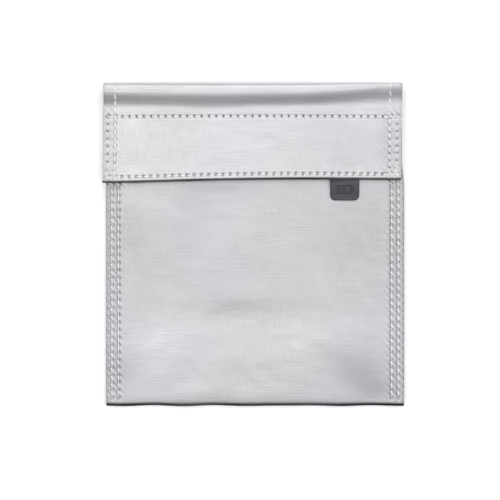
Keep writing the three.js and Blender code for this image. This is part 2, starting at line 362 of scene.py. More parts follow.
def waves(x, y, count, short, long, spread=math.pi):
    """Soft uneven waves, about 1 high: sines of random length and phase, heading within spread of x."""
    total = np.zeros(np.broadcast(x, y).shape)
    for _ in range(count):
        angle = rng.uniform(-spread, spread)
        k = math.tau / rng.uniform(short, long)
        total += np.sin(k * (x * math.cos(angle) + y * math.sin(angle)) + rng.uniform(0, math.tau))
    return total / math.sqrt(count / 2)


# ==== Materials ====
class Nodes:
    """Short ways to build one material's nodes."""

    def __init__(self, name):
        self.material = bpy.data.materials.new(name)
        self.material.use_nodes = True
        self.tree = self.material.node_tree
        self.tree.nodes.clear()
        out = self.tree.nodes.new("ShaderNodeOutputMaterial")
        self.shader = self.tree.nodes.new("ShaderNodeBsdfPrincipled")
        self.tree.links.new(self.shader.outputs[0], out.inputs[0])

    def put(self, value, socket):
        if isinstance(value, bpy.types.NodeSocket):
            self.tree.links.new(value, socket)
        else:
            socket.default_value = value

    def set(self, **values):
        for key, value in values.items():
            self.put(value, self.shader.inputs[key.replace("_", " ")])

    def node(self, kind, out=0, **values):
        """A node's output. i_Name is an input by name, n_0 one by number, and the rest are settings."""
        node = self.tree.nodes.new("ShaderNode" + kind)
        for key, value in values.items():
            if key.startswith("i_"):
                self.put(value, node.inputs[key[2:].replace("_", " ")])
            elif key.startswith("n_"):
                self.put(value, node.inputs[int(key[2:])])
            else:
                setattr(node, key, value)
        return node.outputs[out]

    def on_cloth(self, scale=(1, 1, 1)):
        """Places on the flat cloth, in metres times a scale."""
        return self.node("Mapping", i_Vector=self.node("UVMap", uv_map="cloth"), i_Scale=scale)

    def in_space(self):
        return self.node("TexCoord", out=3)

    def noise(self, place, scale=1.0, detail=2.0, rough=0.5):
        return self.node("TexNoise", i_Vector=place, i_Scale=scale, i_Detail=detail, i_Roughness=rough)

    def remap(self, value, low, high, to_low=0.0, to_high=1.0):
        return self.node("MapRange", n_0=value, n_1=low, n_2=high, n_3=to_low, n_4=to_high)

    def maths(self, operation, a, b, c=0.0):
        return self.node("Math", operation=operation, n_0=a, n_1=b, n_2=c)

    def times(self, a, b):
        return self.maths("MULTIPLY", a, b)

    def towards(self, base, factor, colour):
        return self.node("Mix", out=2, data_type="RGBA", n_0=factor, n_6=base, n_7=(*colour, 1))

    def colours(self, value, dark, light, low=0.3, high=0.7):
        return self.towards((*dark, 1), self.remap(value, low, high), light)

    def mark(self, name):
        return self.node("Attribute", out=2, attribute_name=name)

    def bump(self, height, distance):
        self.set(Normal=self.node("Bump", i_Strength=1.0, i_Distance=distance, i_Height=height))


def bands(n, place, direction, period):
    """Sine ribs with a period in metres. A wave texture runs 20 radians per unit at scale 1."""
    return n.node("TexWave", out=1, i_Vector=place, bands_direction=direction,
                  i_Scale=math.tau / 20 / period, i_Distortion=0.0)


def woven(n, place, thread):
    """An over-and-under weave of threads of some width, from 0 to 1."""
    warp = n.remap(bands(n, place, "X", 2 * thread), 0, 1, -1, 1)
    weft = n.remap(bands(n, place, "Y", 2 * thread), 0, 1, -1, 1)
    return n.remap(n.times(warp, weft), -1, 1)


def crossed(n, place, turn, period):
    """Spots where two sets of ribs cross, each turned from upright by an angle."""
    leaning = [n.node("Mapping", i_Vector=place, i_Rotation=(0, 0, angle)) for angle in (-turn, turn)]
    return n.times(*[bands(n, lean, "X", period) for lean in leaning])


def silver_cloth():
    """A metal coat on glass cloth, with the threads showing through in patches, and a crossed weave where the
    coat is darker. Its marks turn the coat to its own uneven colour with painted light and shade on top, to
    painted near-black shade along the edges, and to painted shade in the needle holes."""
    cool, warm, bright = (0.519, 0.514, 0.542), (0.543, 0.541, 0.533), (0.60, 0.60, 0.607)
    across, upright, crossing = (0.36, 0.36, 0.367), (0.42, 0.42, 0.435), (0.26, 0.26, 0.27)
    # colours the marks turn the coat to: grey for its uneven colour and painted shade, near black for painted
    # shade along the edges and in the needle holes
    tone_shade_grey, edge_shade_black, hole = (0.20, 0.20, 0.207), (0.012, 0.012, 0.014), (0.02, 0.02, 0.025)
    n = Nodes("silver_cloth")
    place = n.on_cloth()
    weft = n.noise(n.on_cloth((55, 1000, 1)), detail=4.0, rough=0.62)
    warp = n.noise(n.on_cloth((1000, 80, 1)), rough=0.6)
    cloud = n.noise(place, 16.0, 3.0)
    tint = n.noise(place, 9.0, 1.0)
    streak_patch = n.noise(n.on_cloth((14, 32, 1)), detail=1.0)
    rib_patch = n.noise(n.on_cloth((30, 110, 1)))
    coat = n.colours(tint, cool, warm, 0.35, 0.65)
    coat = n.towards(coat, n.remap(cloud, 0.3, 0.7, 0, 0.35), bright)
    streaks = n.times(n.remap(weft, 0.44, 0.62), n.remap(streak_patch, 0.35, 0.65, 0.12, 0.38))
    coat = n.towards(coat, streaks, across)
    threads = n.times(n.remap(warp, 0.48, 0.70), n.remap(tint, 0.42, 0.60, 0.12, 0.42))
    coat = n.towards(coat, threads, upright)
    ribs = n.times(bands(n, place, "Y", 0.0021), n.remap(rib_patch, 0.38, 0.62, 0, 0.24))
    coat = n.towards(coat, ribs, across)
    # the coat's own uneven colour with painted light and shade on top, turning it grey where the mark is high
    tone = n.mark("tone")
    coat = n.towards(coat, tone, tone_shade_grey)
    shown = n.maths("MAXIMUM", n.remap(cloud, 0.48, 0.60, 0, 0.26), n.remap(tone, 0.32, 0.55, 0, 0.75))
    coat = n.towards(coat, n.times(crossed(n, place, 0.6, 0.0017), shown), crossing)
    # painted shade along the edges, near black
    edge_shade_amount = n.times(n.mark("painted_edge_shade"), n.remap(cloud, 0.25, 0.6, 0.75, 1))
    coat = n.towards(coat, edge_shade_amount, edge_shade_black)
    # painted shade in the needle holes
    coat = n.towards(coat, n.remap(n.mark("pit"), 0, 0.75), hole)
    rough = n.maths("MAXIMUM", n.remap(cloud, 0.3, 0.7, 0.34, 0.42), n.times(edge_shade_amount, 0.8))
    n.set(Base_Color=coat, Roughness=rough, Metallic=0.82)
    height = n.maths("MULTIPLY_ADD", warp, 0.25, n.times(woven(n, place, 0.00055), 0.5))
    n.bump(n.maths("MULTIPLY_ADD", weft, 0.5, height), 0.00010)
    return n.material


def lining_cloth():
    n = Nodes("lining_cloth")
    place = n.on_cloth()
    cloud = n.noise(place, 30.0, 3.0, 0.55)
    weave = woven(n, place, 0.0009)
    fibre = n.colours(cloud, (0.50, 0.50, 0.49), (0.64, 0.64, 0.62))
    fibre = n.towards(fibre, n.remap(weave, 0, 1, 0.35, 0), (0.36, 0.36, 0.36))
    n.set(Base_Color=fibre, Roughness=n.remap(cloud, 0.3, 0.7, 0.6, 0.75))
    n.bump(weave, 0.00018)
    return n.material


def sewing_thread():
    """Glossy thread, with painted shade where a stitch goes down its hole: the mark deep is 1 there."""
    n = Nodes("sewing_thread")
    fuzz = n.noise(n.in_space(), 900.0, 3.0, 0.6)
    twist = n.colours(fuzz, (0.64, 0.64, 0.655), (0.86, 0.86, 0.86))
    n.set(Base_Color=n.towards(twist, n.mark("deep"), (0.06, 0.06, 0.065)))
    n.set(Roughness=n.remap(fuzz, 0.3, 0.7, 0.30, 0.48), Sheen_Weight=0.3)
    n.bump(fuzz, 0.00008)
    return n.material


def nap_tape(name, dark, light, rough):
    n = Nodes(name)
    fuzz = n.noise(n.in_space(), 700.0, 3.0, 0.65)
    n.set(Base_Color=n.colours(fuzz, dark, light), Roughness=n.remap(fuzz, 0.3, 0.7, rough, rough + 0.15))
    n.set(Sheen_Weight=0.4)
    n.bump(fuzz, 0.0002)
    return n.material


def label_rubber():
    """Dark rubber, with painted shade in the pressed mark and along the rounded edge."""
    n = Nodes("label_rubber")
    grain = n.noise(n.in_space(), 1500.0, 3.0, 0.6)
    cloud = n.noise(n.in_space(), 120.0)
    rubber = n.colours(cloud, (0.025, 0.024, 0.029), (0.042, 0.040, 0.047))
    rubber = n.towards(rubber, n.mark("pressed"), (0.010, 0.010, 0.012))
    n.set(Base_Color=n.towards(rubber, n.mark("edge"), (0.016, 0.016, 0.019)))
    n.set(Roughness=n.remap(cloud, 0.3, 0.7, 0.42, 0.58))
    n.bump(grain, 0.00004)
    return n.material


SILVER = silver_cloth()
LINING = lining_cloth()
THREAD = sewing_thread()
HOOKS = nap_tape("hook_tape", (0.25, 0.25, 0.26), (0.44, 0.45, 0.46), 0.35)
LOOPS = nap_tape("loop_tape", (0.27, 0.28, 0.29), (0.47, 0.48, 0.49), 0.7)
RUBBER = label_rubber()

# ==== How slack cloth settles ====
SETTLE_GRID = 4  # millimetres from point to point
SETTLE_SCALE = 0.01  # ten times the real size, where the solver's smallest distances don't matter
SETTLE_FRAMES = 36
SETTLE_CLOTH = {
    "quality": 5, "mass": 0.3, "tension_stiffness": 40, "compression_stiffness": 40, "shear_stiffness": 20,
    "bending_stiffness": 3, "shrink_min": -SLACK, "vertex_group_mass": "held",
}


def settled(left, right, low, high, seed):
    """How far a slack sheet settles, held at its border and let down on the layer beneath, as a grid."""
    nx, ny = int((right - left) / SETTLE_GRID) + 1, int((high - low) / SETTLE_GRID) + 1
    gx, gy = np.meshgrid(np.linspace(left, right, nx), np.linspace(low, high, ny))
    z = front_z(gx, gy)
    noise = np.random.default_rng(seed).normal(0, 0.15, gx.shape)
    index, faces = grid_index(ny, nx)

    def grid_object(name, height):
        verts = np.stack([gx, gy, height], axis=-1).reshape(-1, 3) * SETTLE_SCALE
        return mesh_object(name, verts, faces, SILVER, {})

    under = grid_object("settle_under", z - 2.0)
    under.modifiers.new("hit", "COLLISION")
    under.collision.thickness_outer = 0.005
    sheet = grid_object("settle_sheet", z + noise)
    group = sheet.vertex_groups.new(name="held")
    held = np.concatenate([index[0], index[-1], index[1:-1, 0], index[1:-1, -1]])
    group.add([int(i) for i in held], 1.0, "REPLACE")
    cloth = sheet.modifiers.new("cloth", "CLOTH")
    for key, value in SETTLE_CLOTH.items():
        setattr(cloth.settings, key, value)
    cloth.collision_settings.distance_min = 0.006
    cloth.point_cache.frame_start, cloth.point_cache.frame_end = 1, SETTLE_FRAMES
    for number in range(1, SETTLE_FRAMES + 1):
        scene.frame_set(number)
    done = sheet.evaluated_get(bpy.context.evaluated_depsgraph_get())
    heights = np.array([v.co.z for v in done.data.vertices]).reshape(ny, nx) / SETTLE_SCALE
    for obj in (sheet, under):
        bpy.data.objects.remove(obj, do_unlink=True)
    scene.frame_set(1)
    return gx, gy, heights - z


def neighbours(axis_values, places):
    """Catmull-Rom weights: for each place, four neighbours on the axis and their shares."""
    step = axis_values[1] - axis_values[0]
    f = np.clip((places - axis_values[0]) / step, 0, len(axis_values) - 1.001)
    i = f.astype(int)
    t = f - i
    shares = (-t**3 + 2 * t**2 - t, 3 * t**3 - 5 * t**2 + 2, -3 * t**3 + 4 * t**2 + t, t**3 - t**2)
    return [(np.clip(i + k - 1, 0, len(axis_values) - 1), w / 2) for k, w in enumerate(shares)]


def sampled(grid, x, y):
    gx, gy, values = grid
    across, up = neighbours(gx[0], x), neighbours(gy[:, 0], y)
    return sum(values[iy, ix] * wy * wx for iy, wy in up for ix, wx in across)


# ==== Where the coat is duller or brighter: its own uneven colour, with painted light and shade ====
POUCH_TONE = 0.25
# patches of the coat's uneven colour with painted light and shade: lighter and darker over the cloth's dents
# and bulges, and a painted shaded band just above the bottom edge
# x, y, half width, half height and amount of each soft patch
POUCH_TONE_AND_SHADE = (
    (70, -85, 19, 13, 0.31), (54, -72, 12, 6, 0.10), (82, -97, 12, 8, 0.30), (-88, -84, 10, 13, 0.16),
    (-12, -41, 28, 6, 0.13), (-56, -64, 30, 15, -0.30), (20, -70, 40, 15, -0.27), (-69, 28, 16, 9, -0.16),
    (-28, 37, 26, 3, 0.16), (-32, -14, 18, 8, -0.06), (66, 4, 30, 40, 0.14), (-62, 0, 26, 34, 0.07),
    (0, -104, 110, 2, 0.12), (-8, -95, 62, 9, -0.25), (-45, -82, 32, 9, -0.12), (10, -53, 60, 6, -0.12),
    (-82, 5, 12, 45, 0.12), (82, 5, 12, 40, 0.07), (-45, 30, 30, 6, 0.07), (-12, 18, 30, 16, -0.06),
)
# the same for the flap: uneven colour with painted light and shade, darker along its sides
FLAP_TONE_AND_SHADE = (
    (62, 66, 38, 24, 0.20), (-62, 66, 36, 24, 0.08), (61, 55, 13, 6, 0.10), (-96, 66, 6, 28, 0.16),
    (92, 66, 12, 28, 0.20), (0, 87, 90, 4, 0.04), (-8, 53, 90, 5, 0.03),
)


def patches(x, y, table):
    return sum(
        amount * np.exp(-(((x - cx) / half_x) ** 2) - ((y - cy) / half_y) ** 2)
        for cx, cy, half_x, half_y, amount in table
    )


EDGE_SHADE_BAND, SIDE_SHADE_BAND = (0.42, 0.3), (2.4, 1.6)  # how far from a side the painted shade starts, and over what width


def side_band(x, sides, inset, width):
    return ease((np.abs(x - sum(sides) / 2) - (HALF_WIDTH - inset)) / width)


def seam_zone(x, rows):
    """The distance from the nearer of the two rows, and whether a place is in the seam outside them."""
    left, right = rows
    return np.minimum(np.abs(x - left), np.abs(x - right)), (x < left) | (x > right)


def grooves(x, rows):
    return sum(bell(x - row, GROOVE) for row in rows)


def pits_along(across, along, start, stop, pitch):
    """Holes along a row: across is the distance from the row, along the place on it."""
    offset = (along - start + pitch / 2) % pitch - pitch / 2
    sewn = (along > min(start, stop) - pitch / 2) & (along < max(start, stop) + pitch / 2)
    return np.exp(-((across / 0.72) ** 2) - (offset / 0.92) ** 2) * sewn


# ==== Pouch cloth: hem at the mouth, front, bottom turn, back, and the roll up to its middle ====
SEWN_X = (*ROWS_LEFT, *ROWS_RIGHT)
HEM_TOP = MOUTH_Y - HEM_TURN
HALF_TURN = np.linspace(0, math.pi, 9)
POUCH_HEM_Y = np.linspace(MOUTH_Y - MOUTH_HEM, HEM_TOP, 6)[:-1]
FRONT_Y = np.arange(HEM_TOP - LINE, LOW_Y + 0.3, -LINE)
BACK_Y = np.arange(LOW_Y + 1.0, BACK_TOP, PITCH / 3)
POUCH_QUARTER = np.linspace(0, math.pi / 2 - 1e-6, 14)
FRONT_ROW = len(POUCH_HEM_Y) + len(HALF_TURN)
LOW_ROW = FRONT_ROW + len(FRONT_Y)
BACK_ROW = LOW_ROW + len(HALF_TURN)
ROLL_ROW = BACK_ROW + len(BACK_Y)
END_ROW = ROLL_ROW + len(POUCH_QUARTER)
FRONT, BACK = slice(FRONT_ROW, LOW_ROW), slice(BACK_ROW, ROLL_ROW)
FIRST_HOLE = 3
LAST_HOLE = FIRST_HOLE + PER_STITCH * int((len(FRONT_Y) - 4) / PER_STITCH)
BACK_SEWN_TO = 62
BACK_STITCHES = 33  # three rows of the grid each


def pouch_columns():
    """Columns close together round the sewn rows, and wider apart between them."""
    near = np.array([row + step for row in SEWN_X for step in (-1.2, -0.8, -0.4, 0, 0.4, 0.8, 1.2)])
    left_side = np.linspace(POUCH_LEFT + 1.2, POUCH_LEFT + 15, 13)
    right_side = np.linspace(POUCH_RIGHT - 15, POUCH_RIGHT - 1.2, 13)
    sides = [place for place in (*left_side, *right_side) if np.min(np.abs(near - place)) > 0.45]
    between = np.linspace(POUCH_LEFT + 16.5, POUCH_RIGHT - 16.5, 60)
    return columns(*POUCH_SIDES, np.concatenate([near, sides, between]))


def pouch_path(x):
    rolled_x = x + FLAP_SHIFT
    edge_front, edge_back = front_z(x, LOW_Y), back_z(x, LOW_Y)
    wavy = 0.25 * waves(x, 0, 5, 18, 60, 0.1)
    turn, quarter = column(HALF_TURN), column(POUCH_QUARTER)
    path_y = rows_of(
        x, POUCH_HEM_Y,
        HEM_TOP + HEM_TURN * np.sin(HALF_TURN),
        FRONT_Y,
        LOW_Y - (LOW_Y - BOTTOM_Y + wavy) * np.sin(turn),
        BACK_Y,
        roll_y(rolled_x) + (TOP_Y - roll_y(rolled_x)) * np.sin(quarter) ** ROLL_SQUARE,
    )
    path_z = rows_of(
        x, front_z(x, column(POUCH_HEM_Y)) - 2 * HEM_TURN,
        front_z(x, HEM_TOP) - HEM_TURN - HEM_TURN * np.cos(turn),
        front_z(x, column(FRONT_Y)),
        (edge_front + edge_back) / 2 + (edge_front - edge_back) / 2 * np.cos(turn),
        back_z(x, column(BACK_Y)),
        crest_z(rolled_x) / 2 * (1 - np.cos(quarter) ** ROLL_SQUARE),
    )
    return path_y, path_z


def pouch_relief(x, px, py):
    """How far the cloth stands out of its path: slack between the seams, puckers and grooves along them."""
    from_row, in_seam = seam_zone(px, INNER_ROWS)
    fade = np.where(in_seam, 1.0, bell(from_row, 3.6))
    pucker = np.sin(math.tau * (py + PUCKER_SLANT * px) / PITCH) * fade
    slack = settled(*INNER_ROWS, LOW_Y, MOUTH_Y, 5)
    inside = np.where(in_seam, 0.0, ease(from_row / 12)) * ease((py - LOW_Y) / 12)
    relief = np.zeros((END_ROW, len(x)))
    relief[FRONT] = (
        sampled(slack, px, py) * 0.13 * inside + 0.10 * waves(px, py, 8, 25, 80) * inside
        - 0.38 * grooves(px, SEWN_X) + 0.44 * pucker + 0.05 * waves(px, py, 6, 5, 14) * fade
    )
    back_x, back_y = grid_of(x, BACK_Y)
    relief[BACK] = -0.4 * (grooves(back_x, SEWN_X) * ease((BACK_SEWN_TO - back_y) / 3))
    return relief


def pouch_pits(px, py):
    start, stop = FRONT_Y[FIRST_HOLE], FRONT_Y[LAST_HOLE]
    pit = np.zeros((END_ROW, px.shape[1]))
    pit[FRONT] = sum(pits_along(px - row, py, start, stop, PITCH) for row in SEWN_X)
    pit[FRONT] += pits_along(py - MOUTH_ROW_Y, px, mouth_low[X], mouth_high[X], PITCH)
    return pit


def mark_pouch(strip, x, px, py):
    """Painted shade along the bottom edge and the sides, and the coat's own uneven colour with painted light
    and shade on top.
    """
    from_row, in_seam = seam_zone(px, INNER_ROWS)
    turn = column(HALF_TURN)
    # painted shade: near black on the lower half of the bottom turn, and dark along the rounded sides
    strip.painted_edge_shade[LOW_ROW:BACK_ROW] = ease((np.sin(turn) - 0.54) / 0.16) * ease((2.1 - turn) / 0.4)
    strip.painted_edge_shade = np.maximum(strip.painted_edge_shade, 0.55 * side_band(x, POUCH_SIDES, *EDGE_SHADE_BAND))
    # painted shade along the seams
    seam_shade = 0.08 * np.where(in_seam, 1.0, bell(from_row, 3.0))
    strip.tone[:] = POUCH_TONE
    # soft patches of uneven colour with painted light and shade
    strip.tone[FRONT] += patches(px, py, POUCH_TONE_AND_SHADE) + seam_shade
    # painted shade along the rounded sides
    strip.tone = np.clip(strip.tone + 0.22 * side_band(x, POUCH_SIDES, *SIDE_SHADE_BAND), 0, 1)


def pouch_strip():
    x, depth, u = pouch_columns()
    path_y, path_z = pouch_path(x)
    outer = depth == 0
    wide_x = x + (FLAP_SHIFT + FLAP_SKEW / 2) * ease((path_y - SHIFT_Y) / SHIFT_LENGTH)
    strip = Strip(wide_x, path_y, path_z, depth, u)
    px, py = grid_of(x, FRONT_Y)
    strip.push(pouch_relief(x, px, py) * outer)
    mark_pouch(strip, x, px, py)
    strip.prick(pouch_pits(px, py) * outer)
    return strip


pouch = pouch_strip()
pouch_cloth = shell("pouch_outer_cloth", pouch, THICK, SILVER)

# ==== Flap cloth: from the middle of the roll to the hem turned under at the flap's edge ====
FLAT_FROM = TAPE_HIGH + HOLE_Y
FLAP_TURN = EDGE_Y + HEM_TURN
FLAP_QUARTER = np.linspace(1e-6, math.pi / 2 - 1e-6, 18)
SLOPE = np.linspace(0, 1, 22)[1:-1]
FLAT_Y = FLAT_FROM - STEP_Y * np.arange(0, int((FLAT_FROM - FLAP_TURN - 0.1) / STEP_Y) + 1)
FLAP_HEM_Y = np.linspace(FLAP_TURN, EDGE_Y + FLAP_HEM, 8)[1:]
FLAT_ROW = len(FLAP_QUARTER) + len(SLOPE)
EDGE_ROW = FLAT_ROW + len(FLAT_Y)
UNDER_ROW = EDGE_ROW + len(HALF_TURN)


def flap_path(x):
    slope_y = roll_y(x) + (FLAT_FROM - roll_y(x)) * column(SLOPE)
    turn, quarter = column(HALF_TURN), column(FLAP_QUARTER)
    path_y = rows_of(
        x, roll_y(x) + (TOP_Y - roll_y(x)) * np.cos(quarter) ** ROLL_SQUARE,
        slope_y,
        FLAT_Y,
        FLAP_TURN - HEM_TURN * np.sin(HALF_TURN),
        FLAP_HEM_Y,
    )
    path_z = rows_of(
        x, crest_z(x) / 2 + crest_z(x) / 2 * np.sin(quarter) ** ROLL_SQUARE,
        flap_z(x, slope_y),
        flap_z(x, column(FLAT_Y)),
        flap_z(x, FLAP_TURN) - HEM_TURN + HEM_TURN * np.cos(turn),
        flap_z(x, column(FLAP_HEM_Y)) - 2 * HEM_TURN,
    )
    return path_y, path_z


def droop(x, y):
    """The flap's edge hangs lower at the left corner."""
    corner = 1.9 * bell(x - FLAP_LEFT, 62) - 0.3 * bell(x - 0.4 * FLAP_RIGHT, 50)
    return corner * ease((TAPE_HIGH - y) / (TAPE_HIGH - EDGE_Y)) ** 2


def flap_grooves(fx, fy):
    """Sunk lines along the rows round the tape and along the inner row at each side."""
    beside_tape = (fy > TAPE_LOW - 1) & (fy < TAPE_HIGH + 1)
    along_tape = (fx > TAPE_LEFT - 1) & (fx < TAPE_RIGHT + 1)
    upright = grooves(fx, (TAPE_LEFT, TAPE_RIGHT)) * beside_tape
    return upright + grooves(fy, (TAPE_LOW, TAPE_HIGH)) * along_tape + grooves(fx, FLAP_ROWS)


def flap_puckers(fx, fy, side_fade):
    """Slanted puckers at the sides, and others along the rows across the flap."""
    from_tape = np.minimum(np.abs(fy - TAPE_LOW), np.abs(fy - TAPE_HIGH))
    at_sides = np.sin(math.tau * (fy + PUCKER_SLANT * fx) / HOLE_Y) * side_fade
    across = np.sin(math.tau * (fx + 0.7 * fy) / HOLE_X) * bell(from_tape, 2.2) * (1 - side_fade)
    return 0.31 * at_sides + 0.18 * across


def tongue_relief(fx, fy):
    """The bump of the label's tongue under the cloth, and three creases round it."""
    x = fx - TAB_X
    bump = ease((11.5 - np.abs(x)) / 3) * ease((fy - EDGE_Y + 1) / 2) * ease((54 - fy) / 4)
    long_crease = bell((x + 19) + 0.5 * (fy - 60), 2.6) * bell(fy - 58, 11)
    left_crease = bell((x + 10) - 0.4 * (fy - 56), 1.9) * bell(fy - 55, 6)
    right_crease = bell((x - 10) + 0.6 * (fy - 54), 1.6) * bell(fy - 53, 5)
    return 0.28 * bump + 0.24 * long_crease - 0.13 * left_crease - 0.12 * right_crease


def flap_relief(fx, fy):
    left, right = FLAP_ROWS
    from_row, in_seam = seam_zone(fx, FLAP_ROWS)
    side_fade = np.where(in_seam, 1.0, bell(from_row, 5))
    on_flat = ease((FLAT_FROM + 3 - fy) / 4)
    inside = ease((fx - left) / 8) * ease((right - fx) / 8)
    inside = inside * ease((fy - TAPE_LOW) / 6) * ease((TAPE_HIGH - fy) / 6)
    slack = settled(left, right, TAPE_LOW, TAPE_HIGH, 9)
    return (
        0.16 * sampled(slack, fx, fy) * inside + 0.10 * waves(fx, fy, 8, 22, 60) * on_flat
        - 0.30 * flap_grooves(fx, fy) + flap_puckers(fx, fy, side_fade) * on_flat
        + tongue_relief(fx, fy) + 0.04 * waves(fx, fy, 6, 5, 14) * side_fade
    )


def flap_pits(fx, fy):
    upright = (TAPE_LEFT, TAPE_RIGHT, *FLAP_ROWS)
    pit = sum(pits_along(fx - place, fy, TAPE_HIGH, TAPE_LOW, HOLE_Y) for place in upright)
    pit += sum(pits_along(fy - place, fx, TAPE_LEFT, TAPE_RIGHT, HOLE_X) for place in (TAPE_LOW, TAPE_HIGH))
    return np.clip(pit, 0, 1)


def mark_flap(strip, x, fx, fy):
    """Painted shade along the turned edge and the sides, and the coat's own uneven colour with painted light
    and shade, and a painted dark band of shade below the roll.
    """
    # painted shade: near black on the turned edge and the last flat row above it, and dark along the rounded
    # sides
    strip.painted_edge_shade[EDGE_ROW:UNDER_ROW] = column(HALF_TURN) < 2.6
    strip.painted_edge_shade[EDGE_ROW - 1] = 0.8
    strip.painted_edge_shade = np.maximum(strip.painted_edge_shade, 0.5 * side_band(x, FLAP_SIDES, *EDGE_SHADE_BAND))
    # painted shade: a dark band on the roll's slope down to the flap, where the cloth faces away from the
    # light
    roll_shade = 0.16 * bell(fy - roll_y(fx) + 0.45 * slope_length(fx), 3.6)
    # painted shade along the rounded sides, and patches of uneven colour with painted light and shade
    sides = 0.22 * side_band(x, FLAP_SIDES, *SIDE_SHADE_BAND)
    strip.tone = np.clip(patches(fx, fy, FLAP_TONE_AND_SHADE) + roll_shade + sides, 0, 1)


def flap_strip():
    inner_x = TAPE_LEFT + STEP_X * np.arange(-2, PER_STITCH * TAPE_ACROSS + 3)
    x, depth, u = columns(*FLAP_SIDES, inner_x)
    fy, path_z = flap_path(x)
    fx = x[None, :] + 0 * fy
    path_y = fy - droop(x, fy)
    skewed_x = x + FLAP_SKEW * (0.5 - (TOP_Y - path_y) / (TOP_Y - EDGE_Y))
    top_face = (depth == 0)[None, :] * np.ones(fy.shape)
    top_face[EDGE_ROW:] = 0
    strip = Strip(skewed_x, path_y, path_z, depth, u)
    strip.push(flap_relief(fx, fy) * top_face)
    mark_flap(strip, x, fx, fy)
    strip.tone *= top_face
    strip.prick(flap_pits(fx, fy) * top_face)
    return strip


flap = flap_strip()
flap_cloth = shell("flap_outer_cloth", flap, THICK, SILVER)


# ==== Stitches ====
def hump(samples):
    """Where a stitch lies along its length: sunk at both ends and lying on the cloth between."""
    s = np.linspace(0, 1, samples)
    return s, 1 - np.abs(2 * s - 1) ** 2.6


def stitch_row(strip, rows, cols, slant=-0.42, lift=0.24, offset=0.0, face=1):
    """Paths of the stitches of one row. rows and cols give the holes on the strip's grid, offset the
    distance of the layer they lie on, and face is -1 for the underside of that layer."""
    sunk = 0.75
    s, rise = hump(11)
    rows, cols = np.broadcast_arrays(np.asarray(rows, float), np.asarray(cols, float))
    r, c = (holes[:-1, None] + np.diff(holes)[:, None] * s for holes in (rows, cols))
    out = at(strip.base_normals, r, c)
    centre, up = at(strip.base, r, c) + out * offset, out * face
    side = unit(np.cross(np.gradient(centre, axis=1), up))
    jitter = rng.normal(0, 0.04, (len(centre), 1, 1))
    height = (rise * (lift + sunk) - sunk)[None, :, None]
    return centre + up * height + side * ((s - 0.5)[None, :, None] * slant * 2 + jitter), up


def sew(name, paths, stands_for, radius=0.40):
    centre = np.concatenate([p[0] for p in paths])
    up = np.concatenate([p[1] for p in paths])
    rise = hump(centre.shape[1])[1]
    # deep paints shade on the thread where it goes down its hole
    widths, deep = radius * (0.75 + 0.25 * rise), ease((0.82 - rise) / 0.46)
    piece = tubes(name, centre, up, widths, THREAD, plies=1.6, deep=deep)
    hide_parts(*stands_for)
    return piece


def nearest_column(strip, place, row):
    """The column of the outer face nearest to an x."""
    shown = strip.points[row, SIDE_COLUMNS:-SIDE_COLUMNS, X]
    return SIDE_COLUMNS + int(np.argmin(np.abs(shown - place)))


def sew_side_row(side, which, place):
    """One row at a side of the pouch: needle thread in front and bobbin thread behind."""
    col = nearest_column(pouch, place, LOW_ROW - 5)
    front_holes = FRONT_ROW + np.arange(FIRST_HOLE, LAST_HOLE + 1, PER_STITCH)
    back_holes = BACK_ROW + 3 * np.arange(BACK_STITCHES + 1)
    needle = stitch_row(pouch, front_holes, col)
    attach(sew(f"seam_stitches_{side}_{which}", [needle], [f"seam_thread_{side}_{which}"]), "pouch")
    bobbin = stitch_row(pouch, back_holes, col, lift=0.12)
    name, stands_for = f"seam_bobbin_stitches_{side}_{which}", [f"seam_bobbin_{side}_{which}"]
    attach(sew(name, [bobbin], stands_for, radius=0.32), "pouch")


def row_at(place):
    """The flap's row at a y on its flat part."""
    return FLAT_ROW + int(round((FLAT_FROM - place) / STEP_Y))


def sew_tape_outline():
    """The rows round the hook tape, on the flap's face."""
    top_row, low_row = row_at(TAPE_HIGH), row_at(TAPE_LOW)
    left_col, right_col = (nearest_column(flap, place, FLAT_ROW) for place in (TAPE_LEFT, TAPE_RIGHT))
    across = np.arange(left_col, right_col + 1, PER_STITCH)
    up = np.arange(top_row, low_row + 1, PER_STITCH)
    paths = [stitch_row(flap, row, across) for row in (top_row, low_row)]
    paths += [stitch_row(flap, up, col) for col in (left_col, right_col)]
    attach(sew("tape_stitches", paths, ["hook_tape_thread"]), "flap")


def sew_flap_side(side, place):
    """The inner row at a side of the flap, which runs on over the roll at the same pitch."""
    col = nearest_column(flap, place, FLAT_ROW)
    steps = np.linalg.norm(np.diff(flap.base[:EDGE_ROW, col], axis=0), axis=1)
    lengths = np.concatenate([[0], np.cumsum(steps)])
    last = lengths[row_at(TAPE_LOW)]
    hole_lengths = last - HOLE_Y * np.arange(int((last - 3) / HOLE_Y), -1, -1)
    holes = np.interp(hole_lengths, lengths, np.arange(len(lengths)))
    path = stitch_row(flap, holes, col, slant=-0.5)
    stands_for = [f"flap_thread_{side}", f"fold_thread_{side}"]
    piece = sew(f"flap_stitches_{side}", [path], stands_for, radius=0.46)
    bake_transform(piece)


for side, places in (("left", ROWS_LEFT), ("right", ROWS_RIGHT)):
    for which, place in zip(("outer", "inner"), places):
        sew_side_row(side, which, place)
sew_tape_outline()
for side, place in zip(("left", "right"), FLAP_ROWS):
    sew_flap_side(side, place)


# ==== Linings ====
def lining(name, strip, sides, row, rows, step):
    """A lining sheet under a strip, from one turned-in side to the other, and its size."""
    first = nearest_column(strip, sides[0] + SIDE_TURN + SIDE_FOLD, row)
    last = nearest_column(strip, sides[1] - SIDE_TURN - SIDE_FOLD, row)
    layer = Layer(strip, rows, np.append(np.arange(first, last, step), last), -LINING_DEPTH)
    return shell(name, layer, THICK, LINING), layer.size()


